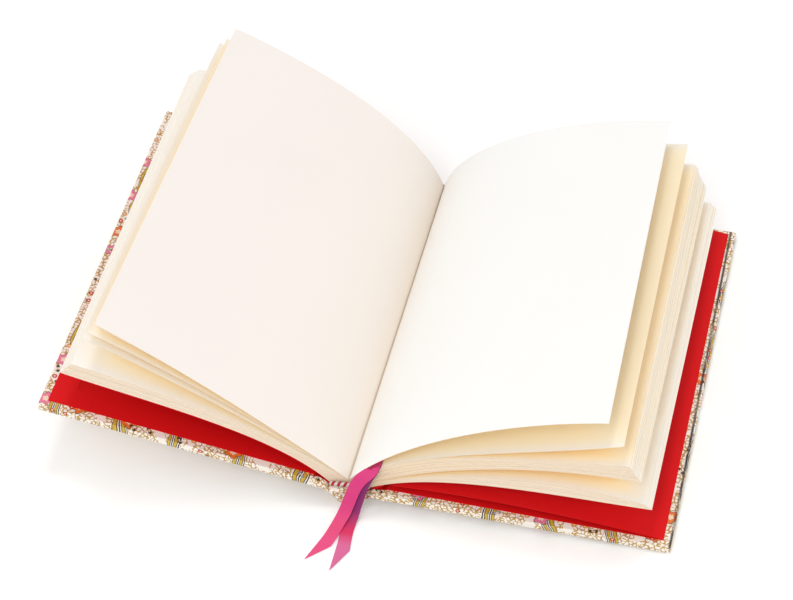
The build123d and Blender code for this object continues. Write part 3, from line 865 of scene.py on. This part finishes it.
# Head and tail bands: red and white cotton wound round a cord, on a tape glued to the back.
# The attribute "wind" counts the turns of thread from one end of the cord.
band_half_width = 9.8
bead_radius = 1.13
bead_out = 1.25
bead_lift = 0.35
thread_height = 0.05
thread_turns = 6.5
strands = 6
rings = 96
sides = 16
tape_thickness = 0.38
tape_line = [(-9.6, 10.47), (-5, 11.1), (0, 11.33), (5, 11.1), (9.6, 10.47)]
band_cotton, tree, shader = new_material("striped_band_cotton", 0.7, 0.2)
wind = point_value(tree, "wind")
red_turn = calc(tree, "LESS_THAN", calc(tree, "FRACT", wind), 0.48)
strand = calc(tree, "SINE", calc(tree, "MULTIPLY", wind, 2 * pi * strands))
dyed = blend_colour(tree, red_turn, (0.88, 0.84, 0.78, 1), (0.62, 0.01, 0.02, 1))
shaded = blend_colour(tree, calc(tree, "MULTIPLY_ADD", strand, 0.12, 0.12), dyed, (0.25, 0.10, 0.08, 1))
tree.links.new(shaded, shader.inputs["Base Color"])
shape_bump(tree, shader, strand, 0.7, 0.00012)
for name, end, outward in (("tail_band", tail, -1), ("head_band", head, 1)):
    arc = (band_half_width**2 + back_crown**2) / (2 * back_crown)
    arc_half = asin(band_half_width / arc)
    verts = []
    winds = []
    for ring in range(rings + 1):
        share = ring / rings
        angle = -arc_half + 2 * arc_half * share
        for side in range(sides):
            round_it = -pi / 2 + 2 * pi * side / sides
            wound = share * thread_turns - outward * side / sides
            radius = bead_radius + thread_height * sin(wound * 2 * pi * strands)
            if ring in (0, rings):
                radius *= 0.6
            out = arc + radius * sin(round_it)
            verts.append((
                out * sin(angle),
                end + outward * bead_out + radius * cos(round_it),
                back_height + back_crown + bead_lift - arc + out * cos(angle),
            ))
            winds.append(wound)
    faces = []
    for ring in range(rings):
        for side in range(sides):
            a = ring * sides + side
            b = ring * sides + (side + 1) % sides
            faces.append((a, a + sides, b + sides, b))
    faces.append(tuple(range(sides)))
    faces.append(tuple(rings * sides + side for side in reversed(range(sides))))
    faces += strip_faces(len(tape_line), len(verts))
    for y in (end + outward * 0.6, end - outward * 9.0):
        for drop in (0, tape_thickness):
            verts += [(x, y, z - drop) for x, z in tape_line]
            winds += [0.6] * len(tape_line)
    band = new_piece(name + "_cotton", verts, faces, band_cotton)
    mark_points(band, "wind", winds)
    smooth_faces(band, 50)
    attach(band, "book_block")
    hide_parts(name)

# Ribbon markers: double-faced satin, glued under the back at the head, laid between two
# leaves and hanging over the tail edge to a slanted cut on the table. Each is one flat strap
# along a line of stations: a place, the way across the ribbon, the way on, and the width.
ribbon_width = 6.4
ribbon_half_thickness = 0.13
ribbon_strips = 9
ribbon_bed = 0.13
table_gap = 0.17
lowest_point = 0.02
satin = {}
for name, high, middle, low in (
    ("front_ribbon", (0.70, 0.02, 0.19, 1), (0.80, 0.05, 0.19, 1), (0.84, 0.06, 0.22, 1)),
    ("rear_ribbon", (0.23, 0.004, 0.14, 1), (0.72, 0.006, 0.10, 1), (0.74, 0.14, 0.34, 1)),
):
    satin[name], tree, shader = new_material(name + "_satin", 0.4, 0.35)
    shader.inputs["Anisotropic"].default_value = 0.5
    shader.inputs["Sheen Weight"].default_value = 0.1
    fallen = point_value(tree, "fallen")
    rib = calc(tree, "SINE", calc(tree, "MULTIPLY", point_value(tree, "along"), 2 * pi * 2.6))
    warp = calc(tree, "SINE", calc(tree, "MULTIPLY", point_value(tree, "over"), 2 * pi * 4.0))
    weave = calc(tree, "MULTIPLY_ADD", rib, 0.5, calc(tree, "MULTIPLY", warp, 0.5))
    # Painted shade and sheen: by how far it has fallen past the tail, the satin is painted from a shaded dark
    # at the page edge to a paler sheen near the cut, and its weave is painted a little paler as a sheen.
    body = blend_colour(tree, ramp(tree, fallen, 0.25, 0.5), high, middle)
    body = blend_colour(tree, ramp(tree, fallen, 0.55, 0.75), body, low)
    lit = blend_colour(tree, calc(tree, "MULTIPLY_ADD", weave, 0.05, 0.06), body, (0.95, 0.30, 0.50, 1))
    tree.links.new(lit, shader.inputs["Base Color"])
    shape_bump(tree, shader, weave, 0.35, 0.00008)


def bed_station(made, y, height):
    """A station of a ribbon where it lies on the second leaf, this high above it."""
    way = heading(made["back second leaf"], ribbon_bed)
    spot = at(made["back second leaf"], ribbon_bed) + Vector((-way.y, way.x)) * height
    return Vector((spot.x, y, spot.y)), Vector((way.x, 0, way.y)), Vector((0, -1, 0)), ribbon_width


# The hanging ends: each place as shares of the page edge's x, of the reach and of the edge's
# height above the table, then the way across and the way on.
rear_fall = (
    (0.895, 0.020, 0.955, (0.92, 0.0, 0.40), (-0.5, -0.6, -0.5)),
    (0.762, 0.050, 0.879, (0.9, 0.0, 0.42), (-0.5, -0.4, -0.8)),
    (0.627, 0.082, 0.748, (0.95, 0.0, 0.3), (-0.4, -0.35, -0.9)),
    (0.516, 0.121, 0.601, (0.95, 0.0, 0.3), (-0.35, -0.4, -0.9)),
    (0.418, 0.168, 0.433, (0.95, 0.05, 0.3), (-0.3, -0.4, -0.9)),
    (0.326, 0.232, 0.250, (0.97, 0.0, 0.25), (-0.25, -0.5, -0.85)),
    (0.258, 0.305, 0.096, (0.98, 0.0, 0.1), (-0.2, -0.7, -0.7)),
    (0.205, 0.408, 0.016, (1.0, -0.1, 0.0), (-0.15, -1.0, -0.2)),
    (0.200, 0.553, 0.000, (1.0, -0.05, 0.0), (-0.05, -1.0, 0.0)),
    (0.240, 0.737, 0.000, (1.0, 0.05, 0.0), (0.05, -1.0, 0.0)),
)
front_fall = (
    (0.875, 0.030, 0.962, (0.92, 0.0, 0.40), (-0.5, -0.6, -0.5)),
    (0.717, 0.071, 0.905, (0.91, 0.0, 0.41), (-0.5, -0.45, -0.7)),
    (0.510, 0.107, 0.800, (0.96, 0.0, 0.27), (-0.45, -0.4, -0.8)),
    (0.350, 0.147, 0.682, (0.95, 0.0, 0.3), (-0.4, -0.35, -0.85)),
    (0.215, 0.198, 0.513, (0.93, 0.0, 0.36), (-0.35, -0.4, -0.85)),
    (0.095, 0.263, 0.323, (0.92, 0.05, 0.38), (-0.35, -0.45, -0.85)),
    (-0.030, 0.345, 0.147, (0.95, 0.1, 0.28), (-0.35, -0.6, -0.7)),
    (-0.150, 0.452, 0.049, (1.0, -0.1, 0.1), (-0.25, -0.9, -0.3)),
    (-0.245, 0.605, 0.023, (1.0, -0.2, 0.0), (-0.2, -1.0, 0.0)),
    (-0.355, 0.770, 0.019, (1.0, -0.25, 0.0), (-0.25, -1.0, 0.0)),
)


def ribbon_rows(path):
    """The stations of a ribbon with more laid between them on one smooth line."""
    rows = []
    last = len(path) - 2
    for k in range(last + 1):
        before = path[max(0, k - 1)][0]
        start = path[k][0]
        end = path[k + 1][0]
        after = path[min(last + 1, k + 2)][0]
        span = (end - start).length
        leave = (end - before) * (span / max(1e-6, span + (start - before).length))
        arrive = (after - start) * (span / max(1e-6, (after - end).length + span))
        parts = 4 if k < last else 1
        for part in range(parts):
            t = part / parts
            spot = (
                start * (2 * t**3 - 3 * t**2 + 1) + leave * (t**3 - 2 * t**2 + t)
                + end * (3 * t**2 - 2 * t**3) + arrive * (t**3 - t**2)
            )
            wide = path[k][1].lerp(path[k + 1][1], smooth(t))
            onward = path[k][2].lerp(path[k + 1][2], t)
            rows.append((spot, wide, onward, path[k][3] + (path[k + 1][3] - path[k][3]) * t))
    rows.append(path[-1])
    return rows


for name, height, fall, reach, end_share, cut, slant in (
    ("rear_ribbon", 0.30, rear_fall, 38.2, 0.262, 15.2, 63.8),
    ("front_ribbon", 0.70, front_fall, 35.6, -0.575, 14.3, 43.8),
):
    under = 10.95 - height
    bend = head + 3.0 + 1.6 * height
    path = [
        (Vector(spot), Vector(wide), Vector(onward), ribbon_width) for spot, wide, onward in (
            ((0.5, head - 16, under), (1, 0, 0), (0, 1, 0)),
            ((0.5, head - 3, under - 0.3), (1, 0, 0), (0, 1, -0.1)),
            ((1.0, head + 1.5, under - 1.2), (1, 0, 0), (0.1, 1, 0.1)),
            ((4.4, bend + 0.4, 12.1), (1, 0, 0), (0.3, 0.2, 1)),
            ((6.6, bend - 0.8, 17.6), (0.9, 0, 0.2), (0.4, -0.1, 1)),
            ((9.2, head + 0.9 + height, 22.6 + height), (0.8, 0.1, 0.45), (0.2, -0.6, 0.8)),
        )
    ]
    path.append(bed_station(sections[-1], head + 0.4, height + 0.1))
    for seventh in range(7, -1, -1):
        path.append(bed_station(page_section(seventh / 7), tail + page_height * seventh / 7, height))
    path.append(bed_station(sections[0], tail - 0.5, height + 0.1))
    edge = at(sections[0]["back second leaf"], ribbon_bed)
    for across, out, up, wide, onward in fall:
        spot = Vector((across * edge.x, tail - out * reach, table_gap + (edge.y - table_gap) * up))
        path.append((spot, Vector(wide), Vector(onward), ribbon_width))
    cut_way = Vector((cos(radians(slant)), sin(radians(slant)), 0))
    cut_end = Vector((end_share * edge.x, tail - reach, table_gap))
    path.append((cut_end, cut_way, Vector((cut_way.y, -cut_way.x, 0)), cut))
    rows = ribbon_rows(path)
    verts = []
    alongs = []
    overs = []
    falls = []
    travelled = 0.0
    for k, (spot, wide, onward, width) in enumerate(rows):
        onward = onward.normalized()
        wide = (wide - onward * wide.dot(onward)).normalized()
        face = onward.cross(wide).normalized()
        if k:
            travelled += (spot - rows[k - 1][0]).length
        for lift in (ribbon_half_thickness, -ribbon_half_thickness):
            for strip in range(ribbon_strips):
                share = strip / (ribbon_strips - 1) - 0.5
                point = spot + wide * (share * width) + face * lift
                verts.append((point.x, point.y, max(lowest_point, point.z)))
                alongs.append(travelled)
                overs.append(share * width)
                falls.append(max(0.0, (tail - point.y) / reach))
    faces = []
    row = 2 * ribbon_strips
    for k in range(len(rows) - 1):
        for strip in range(ribbon_strips - 1):
            a = k * row + strip
            b = a + ribbon_strips
            faces += [(a, a + 1, a + row + 1, a + row), (b + row, b + row + 1, b + 1, b)]
        a = k * row
        b = a + ribbon_strips
        faces.append((a, a + row, b + row, b))
        a += ribbon_strips - 1
        b += ribbon_strips - 1
        faces.append((b, b + row, a + row, a))
    for strip in range(ribbon_strips - 1):
        a = strip
        b = a + ribbon_strips
        faces.append((a, b, b + 1, a + 1))
    for strip in range(ribbon_strips - 1):
        a = (len(rows) - 1) * row + strip
        b = a + ribbon_strips
        faces.append((a + 1, b + 1, b, a))
    ribbon = new_piece(name + "_satin", verts, faces, satin[name])
    mark_points(ribbon, "along", alongs)
    mark_points(ribbon, "over", overs)
    mark_points(ribbon, "fallen", falls)
    smooth_faces(ribbon, 60)
    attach(ribbon, "book_block")
    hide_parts(name)
